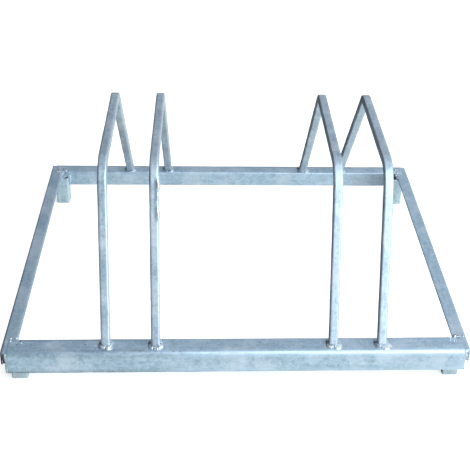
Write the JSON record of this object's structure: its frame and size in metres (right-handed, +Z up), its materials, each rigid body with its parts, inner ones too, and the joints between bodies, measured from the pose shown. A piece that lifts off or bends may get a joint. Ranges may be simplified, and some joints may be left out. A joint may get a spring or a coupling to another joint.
{
  "type": "bicycle rack",
  "caption": "Floor-standing wheel rack: a welded rectangular base frame on short feet, with bent square-bar hoops that form upright slots.",
  "frame": {"origin": "on the floor, in the middle of the footprint", "axes": "+X along the width to the right, +Y from the front rail to the back rail, +Z up"},
  "size_m": [0.72, 0.64, 0.332],
  "materials": {
    "galvanised_rail": "hot-dip galvanised, dull blue-grey with faint grain",
    "galvanised_hoop": "hot-dip galvanised, a little brighter on the rounded edges",
    "galvanised_foot": "hot-dip galvanised, dull",
    "galvanised_weld": "rough weld beads under a thick pale zinc coat"
  },
  "bodies": {
    "root": {"front_rail": "galvanised_rail", "back_rail": "galvanised_rail", "left_side_rail": "galvanised_rail", "right_side_rail": "galvanised_rail", "hoop_1": "galvanised_hoop", "hoop_2": "galvanised_hoop", "hoop_3": "galvanised_hoop", "hoop_4": "galvanised_hoop", "foot_front_left": "galvanised_foot", "foot_front_right": "galvanised_foot", "foot_back_left": "galvanised_foot", "foot_back_right": "galvanised_foot", "weld_hoop_1_front": "galvanised_weld", "weld_hoop_1_back": "galvanised_weld", "weld_hoop_2_front": "galvanised_weld", "weld_hoop_2_back": "galvanised_weld", "weld_hoop_3_front": "galvanised_weld", "weld_hoop_3_back": "galvanised_weld", "weld_hoop_4_front": "galvanised_weld", "weld_hoop_4_back": "galvanised_weld", "weld_corner_front_left": "galvanised_weld", "weld_corner_front_right": "galvanised_weld", "weld_corner_back_left": "galvanised_weld", "weld_corner_back_right": "galvanised_weld", "weld_foot_front_left": "galvanised_weld", "weld_foot_front_right": "galvanised_weld", "weld_foot_back_left": "galvanised_weld", "weld_foot_back_right": "galvanised_weld"}
  },
  "joints": []
}
